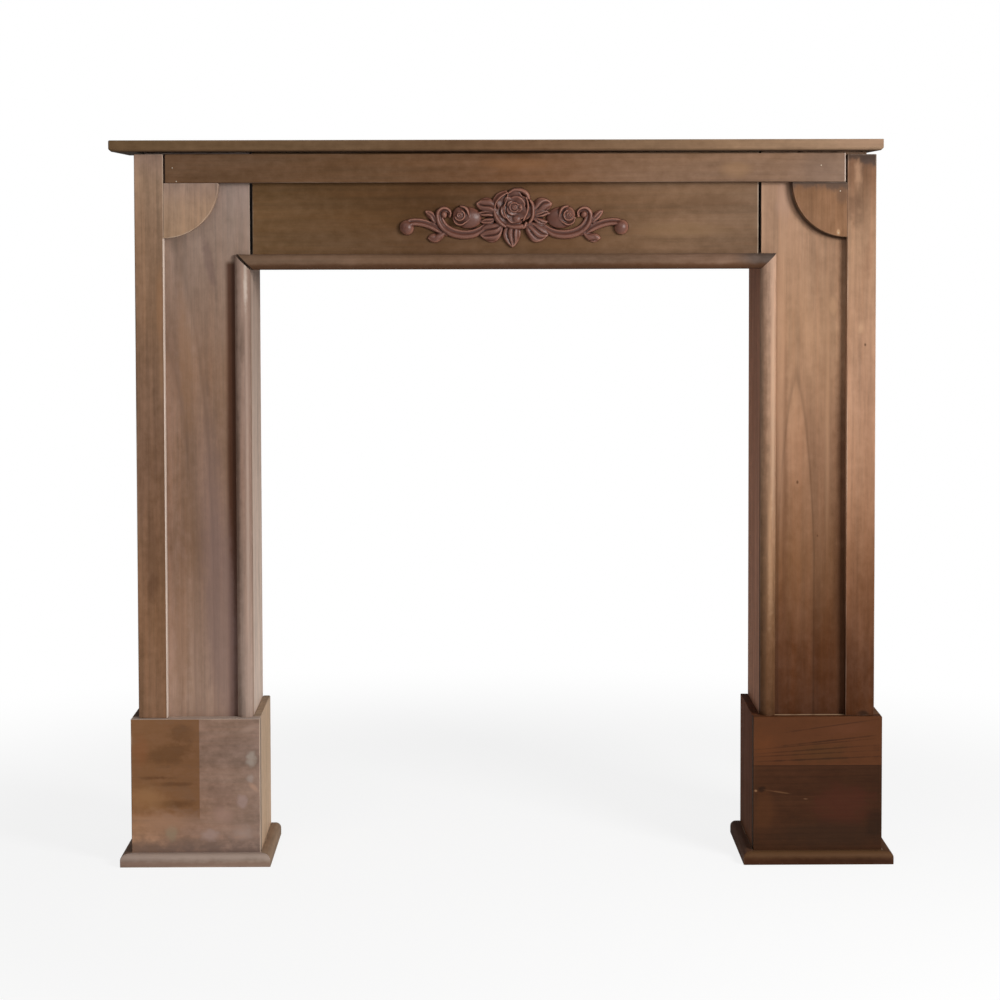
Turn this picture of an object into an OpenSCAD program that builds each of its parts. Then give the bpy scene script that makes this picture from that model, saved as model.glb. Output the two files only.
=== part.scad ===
// Board-built fireplace mantel: two hollow legs on boxed plinths, a frieze with a
// carved rose, a half-round bead round the opening, and a plain shelf.
// Each leg is drawn once, on the +X side, and mirrored. Pieces are placed from the
// middle of the opening, with the wall at y = 0 and the room towards -Y.

/* [Overall] */
// Width across the outsides of the two legs
leg_span = 1050; // [900:10:1500]
// Height from the floor to the top of the shelf
mantel_h = 1032; // [840:2:1300]

/* [Legs] */
// Width of one leg
leg_w = 162; // [140:1:220]
// Depth of a leg, from the wall to the face of its panel
leg_depth = 162; // [120:1:220]
// Thickness of the leg, frieze and soffit boards
board_t = 12; // [9:0.5:18]

/* [Shelf] */
// Thickness of the shelf
shelf_t = 16; // [12:0.5:30]
// How far the shelf stands out past the face frame
shelf_overhang = 14; // [5:1:60]
// How far the shelf passes the left leg
shelf_left = 34; // [5:1:80]
// How far the shelf passes the right leg
shelf_right = 8; // [5:1:80]
// Depth of the small step under the shelf's edge
shelf_step_d = 4; // [2:0.5:8]
// Height of the small step under the shelf's edge
shelf_step_h = 3.5; // [2:0.5:6]

/* [Face frame] */
// Width of the outer stiles
stile_w = 41; // [30:1:60]
// Thickness of the stiles, top rail and quadrants
frame_t = 14; // [9:0.5:20]
// Height of the top rail
rail_h = 41; // [30:1:60]
// Open joint between the top rail and each stile
rail_gap = 2.5; // [0.5:0.5:5]
// Open gap over the left stile and the top rail
top_gap = 3; // [1:0.5:6]
// Open gap over the right stile
right_top_gap = 5; // [1:0.5:8]
// Radius of the quarter-round brackets
quadrant_r = 78; // [40:1:95]

/* [Frieze and bead] */
// Height of the frieze from the opening up to the top rail
frieze_h = 123; // [110:1:200]
// Open gap between the frieze and each leg
frieze_gap = 3.5; // [0.5:0.5:6]
// Width of the half-round bead round the opening
bead_w = 22; // [14:1:30]
// Opening of the left mitre, where the bead has shrunk
mitre_gap = 3; // [0.5:0.5:5]

/* [Plinths] */
// Height of the plinths
plinth_h = 210; // [120:1:260]
// Thickness of a plinth's front board
plinth_front_t = 20; // [16:1:30]
// Thickness of a plinth's side boards
plinth_side_t = 11; // [8:0.5:20]
// Height of the base moulding
base_h = 18; // [14:1:30]
// How far the base moulding stands out
base_proud = 15; // [11:1:24]
// Radius of the base moulding's rounded top edge
base_round = 8; // [4:0.5:10]

/* [Carved rose] */
// Length of the carving from scroll to scroll
carving_w = 322; // [240:2:360]
// How far the rose's heart lies below the top rail
rose_drop = 35; // [28:1:60]
// How far the carving sits to the right of the middle
rose_x = 12; // [-30:1:30]
// How far the rose's heart stands out from the frieze
rose_proud = 14; // [8:0.5:20]

/* [Hidden] */
SIDES = ["left", "right"];
LEG_PIECES = ["outer_side", "inner_side", "leg_panel", "stile", "quadrant", "leg_bead",
    "plinth_front", "plinth_outer", "plinth_inner", "base_front", "base_outer", "base_inner"];
$fn = 48;
eps = 0.01;   // overlap that makes a cut clean

half_span = leg_span / 2;
inner_x = half_span - leg_w;              // face of the opening's side
carcass_h = mantel_h - shelf_t;           // underside of the shelf
stile_x = half_span - stile_w;            // inner edge of the stile
rail_top = carcass_h - top_gap;
rail_z = rail_top - rail_h;               // bottom edge of the top rail
opening_h = rail_z - frieze_h;            // top of the opening
rose_z = rail_z - rose_drop;
bead_r = bead_w / 2;
plinth_in_x = inner_x - plinth_side_t;
plinth_out_x = half_span + plinth_side_t;
plinth_y = -leg_depth - plinth_front_t;   // face of the plinth

left_end = -max(half_span + shelf_left, plinth_out_x + base_proud);
right_end = max(half_span + shelf_right, plinth_out_x + base_proud);
full_depth = max(leg_depth + frame_t + shelf_overhang, -plinth_y + base_proud);
middle = [(left_end + right_end) / 2, -full_depth / 2, 0];

board_brown = [0.46, 0.33, 0.25];
frieze_brown = [0.40, 0.29, 0.19];
edge_brown = [0.42, 0.29, 0.22];
carving_brown = [0.47, 0.30, 0.26];

// ---- placing ----

// The row frame: the origin lies under the middle of the whole mantel's box.
module placed() {
    translate(-middle) children();
}

// A piece of the right leg, or its mirror image for the left leg.
module on_side(side) {
    placed() mirror([side == "left" ? 1 : 0, 0, 0]) children();
}

// A board between two corners.
module board(low, high) {
    translate(low) cube(high - low);
}

// ---- shelf ----

module shelf() {
    front = -leg_depth - frame_t - shelf_overhang;
    ends = [-half_span - shelf_left, half_span + shelf_right];
    color(board_brown) placed() {
        board([ends[0], front, carcass_h + shelf_step_h], [ends[1], 0, mantel_h]);
        board([ends[0] + shelf_step_d, front + shelf_step_d, carcass_h],
            [ends[1] - shelf_step_d, 0, carcass_h + shelf_step_h]);
    }
}

// ---- between the legs ----

module top_rail() {
    end = stile_x - rail_gap;
    color(frieze_brown) placed()
        board([-end, -leg_depth - frame_t, rail_z], [end, -leg_depth, rail_top]);
}

module frieze() {
    end = inner_x - frieze_gap;
    color(frieze_brown) placed()
        board([-end, -leg_depth, opening_h], [end, -leg_depth + board_t, carcass_h]);
}

module soffit() {
    color(board_brown) placed()
        board([-inner_x, -leg_depth + board_t, opening_h], [inner_x, 0, opening_h + board_t]);
}

// A half-round bar along +Z, its flat back on y = 0 and its inner edge on x = 0.
module half_round(length) {
    intersection() {
        translate([bead_r, 0, 0]) cylinder(h = length, r = bead_r);
        board([-eps, -bead_w, -eps], [bead_w + eps, 0, length + eps]);
    }
}

// What a 45 degree saw cut takes off, above a line that rises with x from the origin.
module mitre_waste() {
    translate([0, -bead_w, 0]) rotate([0, -45, 0])
        cube([4 * bead_w, 2 * bead_w, 4 * bead_w]);
}

module lintel_bead() {
    reach = inner_x + bead_w;
    color(edge_brown) placed() difference() {
        translate([-reach, -leg_depth, opening_h])
            rotate([0, 90, 0]) mirror([1, 0, 0]) half_round(2 * reach);
        for (side = [-1, 1]) mirror([side < 0 ? 1 : 0, 0, 0])
            translate([inner_x - (side < 0 ? mitre_gap : 0), -leg_depth, opening_h])
                rotate([0, 90, 0]) mirror([1, 0, 0]) mitre_waste();
    }
}

// ---- legs ----

module outer_side(side) {
    top = carcass_h - (side == "left" ? top_gap : right_top_gap);
    color(board_brown) on_side(side)
        board([half_span - board_t, -leg_depth, 0], [half_span, 0, top]);
}

module inner_side(side) {
    color(board_brown) on_side(side)
        board([inner_x, -leg_depth + board_t, 0], [inner_x + board_t, 0, carcass_h]);
}

module leg_panel(side) {
    color(board_brown) on_side(side)
        board([inner_x, -leg_depth, 0],
            [half_span - board_t, -leg_depth + board_t, carcass_h]);
}

module stile(side) {
    top = carcass_h - (side == "left" ? top_gap : right_top_gap);
    color(board_brown) on_side(side)
        board([stile_x, -leg_depth - frame_t, plinth_h], [half_span, -leg_depth, top]);
}

module quadrant(side) {
    color(board_brown) on_side(side) intersection() {
        translate([stile_x, -leg_depth, rail_z]) rotate([90, 0, 0])
            cylinder(h = frame_t, r = quadrant_r, $fn = 96);
        board([stile_x - quadrant_r - eps, -leg_depth - frame_t - eps, rail_z - quadrant_r - eps],
            [stile_x, -leg_depth + eps, rail_z]);
    }
}

module leg_bead(side) {
    color(edge_brown) on_side(side) translate([inner_x, -leg_depth, 0]) difference() {
        translate([0, 0, plinth_h]) half_round(opening_h + bead_w - plinth_h);
        translate([0, 0, opening_h]) mitre_waste();
    }
}

// ---- plinths ----

module plinth_front(side) {
    color(edge_brown) on_side(side)
        board([plinth_in_x, plinth_y, 0], [plinth_out_x, -leg_depth, plinth_h]);
}

module plinth_outer(side) {
    color(edge_brown) on_side(side)
        board([half_span, -leg_depth, 0], [plinth_out_x, 0, plinth_h]);
}

module plinth_inner(side) {
    color(edge_brown) on_side(side)
        board([plinth_in_x, -leg_depth, 0], [inner_x, 0, plinth_h]);
}

// The base moulding's section: a strip with its top outer edge rounded over.
module base_section() {
    shoulder = [base_proud - base_round, base_h - base_round];
    intersection() {
        square([base_proud, base_h]);
        union() {
            square([base_proud, shoulder[1]]);
            square([shoulder[0], base_h]);
            translate(shoulder) circle(r = base_round);
        }
    }
}

// A bar of base moulding along +X, its back on y = 0 and its face towards -Y.
module base_bar(length) {
    rotate([90, 0, 90]) mirror([1, 0, 0]) linear_extrude(length) base_section();
}

// A quarter of the plane, seen from above, which a mitre takes off a bar of moulding:
// the plinth's corner is at the origin, and the quarter starts at the angle given.
module base_mitre_waste(angle) {
    translate([0, 0, -eps]) rotate([0, 0, angle])
        cube([4 * base_proud, 4 * base_proud, base_h + 2 * eps]);
}

module base_front(side) {
    reach = plinth_out_x - plinth_in_x + 2 * base_proud;
    color(edge_brown) on_side(side) difference() {
        translate([plinth_in_x - base_proud, plinth_y, 0]) base_bar(reach);
        translate([plinth_out_x, plinth_y, 0]) base_mitre_waste(-45);
        translate([plinth_in_x, plinth_y, 0]) mirror([1, 0, 0]) base_mitre_waste(-45);
    }
}

// The return along one side of the plinth, from the front corner to the wall.
module base_return(corner_x, outward) {
    translate([corner_x, plinth_y, 0]) mirror([outward < 0 ? 1 : 0, 0, 0]) difference() {
        translate([0, -base_proud, 0])
            rotate([0, 0, 90]) base_bar(base_proud - plinth_y);
        base_mitre_waste(-135);
    }
}

module base_outer(side) {
    color(edge_brown) on_side(side) base_return(plinth_out_x, 1);
}

module base_inner(side) {
    color(edge_brown) on_side(side) base_return(plinth_in_x, -1);
}

// ---- carved rose ----
// Drawn flat, x to the right and y up, from the rose's heart, for a carving 322 long.
// A limb is a list of stations [x, y, half width, height], joined in turn.

drawn_w = 322;
dome_sides = 8;

// One station of a limb: a low dome with sloping sides.
module dome(station) {
    shoulder = 0.6;
    translate([station[0], station[1], 0]) {
        cylinder(h = station[3] * shoulder, r1 = station[2], r2 = station[2] * 0.85,
            $fn = dome_sides);
        translate([0, 0, station[3] * shoulder])
            cylinder(h = station[3] * (1 - shoulder), r1 = station[2] * 0.85,
                r2 = station[2] * 0.4, $fn = dome_sides);
    }
}

module limb(stations) {
    for (i = [0 : len(stations) - 2]) hull() {
        dome(stations[i]);
        dome(stations[i + 1]);
    }
}

// A bar along an arc of a circle, as [x, y, half width, height] stations.
function arc(centre, radius, from, to, width, height, steps) =
    [for (i = [0 : steps]) let (a = from + (to - from) * i / steps)
        [centre[0] + radius * cos(a), centre[1] + radius * sin(a), width, height]];

// A leaf of two swelling halves with the vein between them.
module leaf(base, tip, width, height) {
    along = tip - base;
    across = [-along[1], along[0]] / norm(along) * width / 2;
    for (side = [-1, 1]) {
        belly = base + along * 0.45 + across * side * 0.55;
        limb([[base[0], base[1], width * 0.14, height * 0.8],
            [belly[0], belly[1], width * 0.24, height],
            [tip[0], tip[1], 0.9, height * 0.5]]);
    }
}

// The right half of the foliage: scrolls, bud and leaves.
module foliage() {
    limb([[43, -27, 4, 6], [52, -35, 4.5, 6.5], [66, -38.5, 5, 7], [82, -38, 5.5, 7],
        [97, -31.5, 5.5, 7], [106.5, -20, 5, 7], [110.5, -9, 4, 8], [107, -1.5, 3.6, 8],
        [100.5, 1.3, 3.6, 8], [93.5, -2.5, 3.4, 8], [92, -9, 3, 7.5], [96, -14, 2.6, 7]]);
    dome([100.5, -8.5, 5, 9]);
    limb([[98, -40.5, 2.5, 4], [110.5, -31, 4.6, 6], [125, -22.5, 5.6, 6.5],
        [139.5, -19.8, 4.8, 7], [150, -22.5, 5.8, 9], [153.5, -28.5, 7.4, 11],
        [150.5, -34, 6.6, 8]]);
    leaf([112, -21.5], [124.5, -5], 8, 5);
    leaf([99, -36], [119.5, -42.5], 11, 5.5);
    leaf([33, -14], [49.5, 6.5], 24, 6.5);
    leaf([26, -10], [47, -25], 14, 5.5);
    leaf([20, -22], [46, -37.5], 24, 6.5);
    limb([[56, -12, 9, 7], [66, -12, 14.5, 11], [74, -11.5, 11.5, 11]]);
    limb(arc([77.5, -10.7], 7, -150, 150, 1.8, 13, 6));
    dome([77.5, -10.7, 3.2, 13.5]);
}

// The open rose: rolled petals in rings that climb towards the heart.
module rose() {
    heart = rose_proud;
    dome([0, 0, 25, heart * 0.6]);
    limb(arc([0, 0], 23.5, 38, 96, 3, heart * 0.66, 4));          // top
    limb([[-10, 21, 3, heart * 0.62], [-21, 13, 4, heart * 0.6], [-26, 4, 3.4, heart * 0.55]]);
    limb([[-25.5, -2, 3.6, heart * 0.55], [-22.5, -14, 4, heart * 0.62],
        [-14, -25, 3.2, heart * 0.6]]);
    limb(arc([0, -5], 27, -34, 34, 2.6, heart * 0.62, 4));        // right
    limb([[-9, -26.5, 3, heart * 0.66], [3, -27.5, 3.6, heart * 0.7], [16, -25, 3, heart * 0.66]]);
    limb(arc([0, 0], 15.5, 8, 88, 3, heart * 0.86, 4));           // inner ring
    limb(arc([0, 0], 17, -52, -2, 2.8, heart * 0.82, 3));
    limb([[-8.5, 19, 2, heart * 0.8], [-8.5, 7, 2.2, heart * 0.86]]);
    limb([[-13.5, 2, 2.2, heart * 0.86], [-12, -9, 2.4, heart * 0.86], [-4, -16, 2.2, heart * 0.8],
        [-5, -21, 1.8, heart * 0.74]]);
    limb(arc([0, 0], 7, 20, 320, 2, heart * 0.95, 7));            // bud in the heart
    dome([0, 0, 3, heart]);
}

module carved_rose() {
    scale_xy = carving_w / drawn_w;
    color(carving_brown) placed() translate([rose_x, -leg_depth, rose_z])
        rotate([90, 0, 0]) scale([scale_xy, scale_xy, 1]) {
            rose();
            foliage();
            mirror([1, 0, 0]) foliage();
            leaf([0, -24], [-2, -56], 27, 6.5);
        }
}

// ---- the model ----

shelf();
top_rail();
frieze();
soffit();
lintel_bead();
carved_rose();
for (side = SIDES) {
    outer_side(side);
    inner_side(side);
    leg_panel(side);
    stile(side);
    quadrant(side);
    leg_bead(side);
    plinth_front(side);
    plinth_outer(side);
    plinth_inner(side);
    base_front(side);
    base_outer(side);
    base_inner(side);
}
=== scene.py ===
import math

import bmesh
import bpy
import numpy as np
from mathutils import Matrix, Vector, noise


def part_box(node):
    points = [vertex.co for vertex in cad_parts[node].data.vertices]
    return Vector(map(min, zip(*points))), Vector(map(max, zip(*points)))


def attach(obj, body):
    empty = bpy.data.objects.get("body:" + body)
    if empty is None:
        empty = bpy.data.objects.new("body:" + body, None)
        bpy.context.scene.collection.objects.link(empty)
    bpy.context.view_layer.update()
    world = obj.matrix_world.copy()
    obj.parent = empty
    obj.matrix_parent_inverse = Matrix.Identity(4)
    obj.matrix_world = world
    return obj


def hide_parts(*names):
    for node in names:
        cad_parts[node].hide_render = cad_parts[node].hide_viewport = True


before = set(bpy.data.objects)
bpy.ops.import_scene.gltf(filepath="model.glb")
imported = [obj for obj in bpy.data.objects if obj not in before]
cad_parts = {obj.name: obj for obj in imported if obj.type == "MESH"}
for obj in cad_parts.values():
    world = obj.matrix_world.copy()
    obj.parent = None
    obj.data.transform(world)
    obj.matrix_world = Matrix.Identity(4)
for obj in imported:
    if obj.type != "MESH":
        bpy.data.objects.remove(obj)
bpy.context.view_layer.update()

mm = 0.001
onFace = 0.01 * mm              # nearer than this, a point lies on the face
axisIndex = {"x": 0, "y": 1, "z": 2}
stageColour = (0.93, 0.93, 0.925)


class Wire:
    # one output of a shader tree; arithmetic on it adds the Math nodes
    def __init__(self, tree, socket):
        self.tree, self.socket = tree, socket

    def node(self, kind, settings=None, sockets=None, out=0):
        made = self.tree.nodes.new(kind)
        for name, value in (settings or {}).items():
            if name == "stops":
                setStops(made.color_ramp, value)
            else:
                setattr(made, name, value)
        for key, value in (sockets or {}).items():
            if isinstance(value, Wire):
                self.tree.links.new(value.socket, made.inputs[key])
            else:
                made.inputs[key].default_value = value
        return Wire(self.tree, made.outputs[out])

    def math(self, operation, first, second=0.0, third=0.0, clamp=False):
        settings = {"operation": operation, "use_clamp": clamp}
        return self.node("ShaderNodeMath", settings, {0: first, 1: second, 2: third})

    def __add__(self, other):
        return self.math("ADD", self, other)

    def __radd__(self, other):
        return self.math("ADD", other, self)

    def __sub__(self, other):
        return self.math("SUBTRACT", self, other)

    def __rsub__(self, other):
        return self.math("SUBTRACT", other, self)

    def __mul__(self, other):
        return self.math("MULTIPLY", self, other)

    def __rmul__(self, other):
        return self.math("MULTIPLY", other, self)

    def __truediv__(self, other):
        return self.math("DIVIDE", self, other)

    def __rtruediv__(self, other):
        return self.math("DIVIDE", other, self)

    def __pow__(self, other):
        return self.math("POWER", self, other)

    def __abs__(self):
        return self.math("ABSOLUTE", self)

    def clamped(self):
        return self.math("ADD", self, 0.0, clamp=True)

    def least(self, other):
        return self.math("MINIMUM", self, other)

    def most(self, other):
        return self.math("MAXIMUM", self, other)

    def fall(self, full, none):
        # 1 where the value is at full, 0 where it is at none, with a soft change between
        sockets = {"Value": self, "From Min": none, "From Max": full}
        return self.node("ShaderNodeMapRange", {"interpolation_type": "SMOOTHSTEP"}, sockets)

    def ramp(self, stops):
        return self.node("ShaderNodeValToRGB", {"stops": stops}, {0: self})

    def tint(self, colour, amount, blend="MIX"):
        # this colour with another laid over it
        settings = {"data_type": "RGBA", "blend_type": blend}
        return self.node("ShaderNodeMix", settings, {0: amount, 6: self, 7: colour}, 2)

    def times(self, factor):
        # a colour made lighter or darker by a value
        return self.node("ShaderNodeVectorMath", {"operation": "SCALE"}, {0: self, "Scale": factor})


def setStops(ramp, stops):
    while len(ramp.elements) < len(stops):
        ramp.elements.new(1.0)
    for element, (place, colour) in zip(ramp.elements, stops):
        element.position, element.color = place, colour


def linear(value):
    value /= 255
    return value / 12.92 if value <= 0.04045 else ((value + 0.055) / 1.055) ** 2.4


def paint(red, green, blue):
    # a colour as seen on a screen, turned into the shader's own
    return (linear(red), linear(green), linear(blue), 1.0)


def newMaterial(name):
    material = bpy.data.materials.new(name)
    material.use_nodes = True
    tree = material.node_tree
    shader = tree.nodes["Principled BSDF"]
    return material, tree, shader


def feed(tree, wire, socket):
    tree.links.new(wire.socket, socket)


def positionWires(tree):
    places = Wire(tree, tree.nodes.new("ShaderNodeTexCoord").outputs["Object"])
    split = tree.nodes.new("ShaderNodeSeparateXYZ")
    feed(tree, places, split.inputs[0])
    return places, {axis: Wire(tree, split.outputs[axis.upper()]) for axis in axisIndex}


# how a board lies: its grain, the way across it and the way into it
upright = {"grain": "z", "across": "x", "deep": "y"}
level = {"grain": "x", "across": "z", "deep": "y"}
flat = {"grain": "x", "across": "y", "deep": "z"}
turnedSide = {"grain": "z", "across": "y", "deep": "x"}
turnedLevel = {"grain": "y", "across": "z", "deep": "x"}

# Every board takes its own look from this one, by naming only what differs.
woodLook = {
    **upright,
    "seed": 0.0,
    "ringGap": 0.0075,          # between growth rings, m
    "pith": (0.015, 0.045),     # heart of the tree from the board's middle: across, deep
    "lean": 0.035,              # how fast the heart drifts away along the grain
    "leanFrom": 0.3,            # how far along the board it starts to drift
    "peak": 2.0,                # 2 for round arches, less for pointed ones
    "arches": [],               # marked rings, by their distance from the heart
    "archDepth": 0.16, "archWidth": 0.0018, "archLight": 0.05,   # outline, lighter inside
    "wander": 0.010,            # how far the rings wander
    "figure": 0.12,             # how dark the late wood is
    "streaks": 0.72,            # light and dark fibres
    "swathes": 0.85,            # broad bands along the grain
    "clouds": 0.48,             # uneven stain
    "mottle": 0.50,             # small blotches, the same in every direction
    "tones": [(0.0, (140, 110, 88)), (1.0, (140, 110, 88))],   # along the grain
    "paintedSheen": (146, 128, 120), "paintedSheenAmount": 0.25,   # greyer, rosier patches: painted sheen
    "warm": (150, 98, 62), "warmAmount": 0.22,     # warmer fibres
    "wear": (196, 172, 152), "wearWidth": 0.0016, "wearAmount": 0.55,   # rubbed arrises
    "endGrain": 0.62,           # how dark the sawn ends are
    "spots": [], "knots": [], "bands": [],
    "rough": 0.55, "shine": 0.06,
}


def patch(middle, half, colour, amount, **rest):
    # a soft patch on a front face: its middle and half its size, both as x and z in metres
    return {"middle": middle, "half": half, "colour": colour, "amount": amount, **rest}


def strip(colour, amount, soft, **rest):
    # a patch with straight sides, from and to along each axis it names, in metres
    return {"colour": colour, "amount": amount, "soft": soft, **rest}


def spotMask(at, cloud, spot):
    # a slant slides the patch along x as z rises, a slope lifts it as x does, and of a
    # ring only the outline shows
    xGap, zGap = at["x"] - spot["middle"][0], at["z"] - spot["middle"][1]
    if "slant" in spot:
        xGap = xGap - zGap * spot["slant"]
    if "slope" in spot:
        zGap = zGap - xGap * spot["slope"]
    wide, tall = spot["half"]
    radius = ((xGap / wide) ** 2.0 + (zGap / tall) ** 2.0) ** 0.5
    if "ring" in spot:
        radius = abs(radius - 1) / spot["ring"]
    radius = radius + cloud * spot.get("ragged", 0.6)
    return radius.fall(1 - spot.get("soft", 0.7), 1.0) * spot["amount"]


def bandMask(at, cloud, band):
    # sides across a crisp axis are neither soft nor ragged
    mask = None
    for axis in [axis for axis in band if axis in axisIndex]:
        crisp = axis in band.get("crisp", "")
        soft = 0.0015 if crisp else band["soft"]
        place = at[axis] if crisp else at[axis] + cloud * band.get("ragged", 0.0)
        for limit, inward in zip(band[axis], (1, -1)):
            side = ((place - limit) * inward).fall(soft / 2, -soft / 2)
            mask = side if mask is None else mask * side
    if "broken" in band:
        mask = mask * (1 + cloud * band["broken"]).clamped()
    return mask * band["amount"]


def stainedWood(name, box, changes):
    look = {**woodLook, **changes}
    material, tree, shader = newMaterial(name)
    places, at = positionWires(tree)
    low, high = box
    grain, crossway, inward = (axisIndex[look[key]] for key in ("grain", "across", "deep"))
    middle = (low + high) / 2
    along, across, deep = at[look["grain"]], at[look["across"]], at[look["deep"]]
    seed = look["seed"]

    def speckle(crossScale, alongScale, detail=2.0, roughness=0.55, shift=0.0):
        # noise drawn out along the grain, from -0.5 to 0.5
        scale = [crossScale] * 3
        scale[grain] = alongScale
        shifted = [seed * 3.7 + shift, seed * 1.3 - shift, seed * 2.1 + shift]
        moved = places.node("ShaderNodeMapping", sockets={
            "Vector": places, "Scale": scale, "Location": shifted})
        return places.node("ShaderNodeTexNoise", sockets={
            "Vector": moved, "Scale": 1.0, "Detail": detail, "Roughness": roughness}) - 0.5

    warp = speckle(9.0, 1.3, 2.0)
    cloud = speckle(26.0, 6.0, 4.0, shift=5.0)
    patches = speckle(7.0, 2.2, 2.0, shift=9.0)
    fibres = speckle(190.0, 4.5, 4.0, 0.6, shift=2.0)
    swathes = speckle(34.0, 2.4, 3.0, shift=7.0)
    hairs = speckle(900.0, 40.0, 2.0, shift=3.0)
    mottle = speckle(80.0, 60.0, 5.0, 0.62, shift=12.0)
    stray = mottle + cloud * 0.6       # how patches lose their outlines

    # growth rings round a heart that leans away, which draws arches on the face
    start = low[grain] + look["leanFrom"] * (high[grain] - low[grain])
    x = across - (middle[crossway] + look["pith"][0])
    y = (along - start).most(0.0) * look["lean"] + (low[inward] + look["pith"][1]) - deep
    peak = look["peak"]
    distance = (abs(x) ** peak + abs(y) ** peak) ** (1 / peak)
    distance = distance + warp * look["wander"] + cloud * 0.0016
    for knot in look["knots"]:
        aside = (across - knot["at"][0]) / knot["reach"]
        above = (along - knot["at"][1]) / (knot["reach"] * 2.2)
        near = (aside * aside + above * above).fall(0.0, 1.0)
        distance = distance + near * knot["reach"] * 0.5
    turns = distance / look["ringGap"]
    late = places.math("FRACT", turns).ramp([
        (0.0, (0.35, 0.35, 0.35, 1)), (0.12, (0, 0, 0, 1)), (0.55, (0.16, 0.16, 0.16, 1)),
        (0.86, (1, 1, 1, 1)), (1.0, (0.35, 0.35, 0.35, 1))])

    # colour along the board, then fibres, rings, clouds and patches over it
    length = high[grain] - low[grain]
    run = (along - low[grain]) / length + cloud * 0.05
    colour = run.ramp([(place, paint(*tone)) for place, tone in look["tones"]])
    # painted sheen: greyer, rosier patches laid over the colour
    colour = colour.tint(paint(*look["paintedSheen"]),
        (patches * 2.2 + cloud * 0.8 + mottle + 0.25).clamped() * look["paintedSheenAmount"])
    colour = colour.tint(paint(*look["warm"]),
        (fibres * 1.6 - patches * 1.2 + 0.2).clamped() * look["warmAmount"], "SOFT_LIGHT")
    shade = fibres * look["streaks"] + hairs * (look["streaks"] * 0.35)
    shade = shade + swathes * look["swathes"] + cloud * look["clouds"]
    shade = shade + mottle * look["mottle"]
    figure = late * (swathes * 2.0 + 0.7).clamped() * look["figure"]
    colour = colour.times(1.03 + shade - figure)
    for radius in look["arches"]:
        # lighter within, with a thin dark outline
        within = distance.fall(radius - 0.0012, radius)
        line = abs(distance - radius).fall(0.0, look["archWidth"])
        line = line * (patches * 1.5 + 0.6 + mottle)
        flank = abs(distance - radius - 0.006).fall(0.0, 0.007)
        colour = colour.times(1 + within * look["archLight"] - line * look["archDepth"]
            - flank * look["archDepth"] * 0.5)
    for band in look["bands"]:
        colour = colour.tint(paint(*band["colour"]), bandMask(at, stray, band))
    for spot in look["spots"]:
        colour = colour.tint(paint(*spot["colour"]), spotMask(at, stray, spot))
    for knot in look["knots"]:
        core = patch(knot["at"], (knot["size"], knot["size"] * 1.5), knot["colour"], 0.8)
        colour = colour.tint(paint(*core["colour"]), spotMask(at, cloud, core))

    # sawn ends drink the stain; arrises are rubbed pale
    facing = places.node("ShaderNodeTexCoord", out=1)
    split = tree.nodes.new("ShaderNodeSeparateXYZ")
    feed(tree, facing, split.inputs[0])
    sawn = abs(Wire(tree, split.outputs[grain])).fall(0.9, 0.6)
    colour = colour.times(1 - sawn * (1 - look["endGrain"]))
    inset = [(at[axis] - low[i]).least(high[i] - at[axis]) for axis, i in axisIndex.items()]
    if "curve" in look:
        centre, radius = look["curve"]
        x, z = at["x"] - centre.x, at["z"] - centre.z
        inset[0] = inset[0].least(radius - (x * x + z * z) ** 0.5)
    arris = inset[0].least(inset[1]).most(inset[0].most(inset[1]).least(inset[2]))
    rubbed = (arris - hairs * 0.0016 - cloud * 0.004).fall(0.0, look["wearWidth"])
    rubbed = rubbed * (cloud * 2.4 + 0.55).clamped() * look["wearAmount"]
    colour = colour.tint(paint(*look["wear"]), rubbed)
    feed(tree, colour, shader.inputs["Base Color"])

    gloss = look["rough"] + late * 0.05 - fibres * 0.10 + cloud * 0.10 + rubbed * 0.2
    for band in look["bands"]:
        if band.get("matt"):
            gloss = gloss + bandMask(at, stray, band)
    feed(tree, gloss.clamped(), shader.inputs["Roughness"])
    shader.inputs["Specular IOR Level"].default_value = look["shine"]
    height = hairs * 0.5 + fibres * 0.7 - late * 0.35 + cloud * 0.3
    bump = height.node("ShaderNodeBump", sockets={
        "Strength": 0.5, "Distance": 0.0004, "Height": height})
    feed(tree, bump, shader.inputs["Normal"])
    return material


def placePiece(name, bm, material, nodes, smoothAngle=35.0):
    bm.normal_update()
    for face in bm.faces:
        face.smooth = max(abs(part) for part in face.normal) < 0.9999   # sawn faces stay flat
    for edge in bm.edges:
        if edge.is_manifold and edge.calc_face_angle(0.0) > math.radians(smoothAngle):
            edge.smooth = False
    mesh = bpy.data.meshes.new(name)
    bm.to_mesh(mesh)
    bm.free()
    piece = bpy.data.objects.new(name, mesh)
    bpy.context.scene.collection.objects.link(piece)
    mesh.materials.append(material)
    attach(piece, "root")
    if nodes:
        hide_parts(*nodes)


def placeStained(name, node, bm, look, smoothAngle=35.0):
    material = stainedWood(name.replace("_", " ") + " stain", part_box(node), look)
    placePiece(name, bm, material, [node], smoothAngle)


def boxMesh(low, high):
    bm = bmesh.new()
    bmesh.ops.create_cube(bm, size=1.0)
    bmesh.ops.scale(bm, vec=high - low, verts=bm.verts)
    bmesh.ops.translate(bm, vec=(low + high) / 2, verts=bm.verts)
    return bm


def bevelEdges(bm, edges, offset, segments):
    bmesh.ops.bevel(bm, geom=edges, offset=offset, offset_type="OFFSET", segments=segments,
        profile=0.5, affect="EDGES", clamp_overlap=True, material=-1)


def easeArrises(bm, amount, segments=3, angle=50.0):
    sharp = [edge for edge in bm.edges
        if edge.is_manifold and edge.calc_face_angle(0.0) > math.radians(angle)]
    bevelEdges(bm, sharp, amount, segments)


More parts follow.
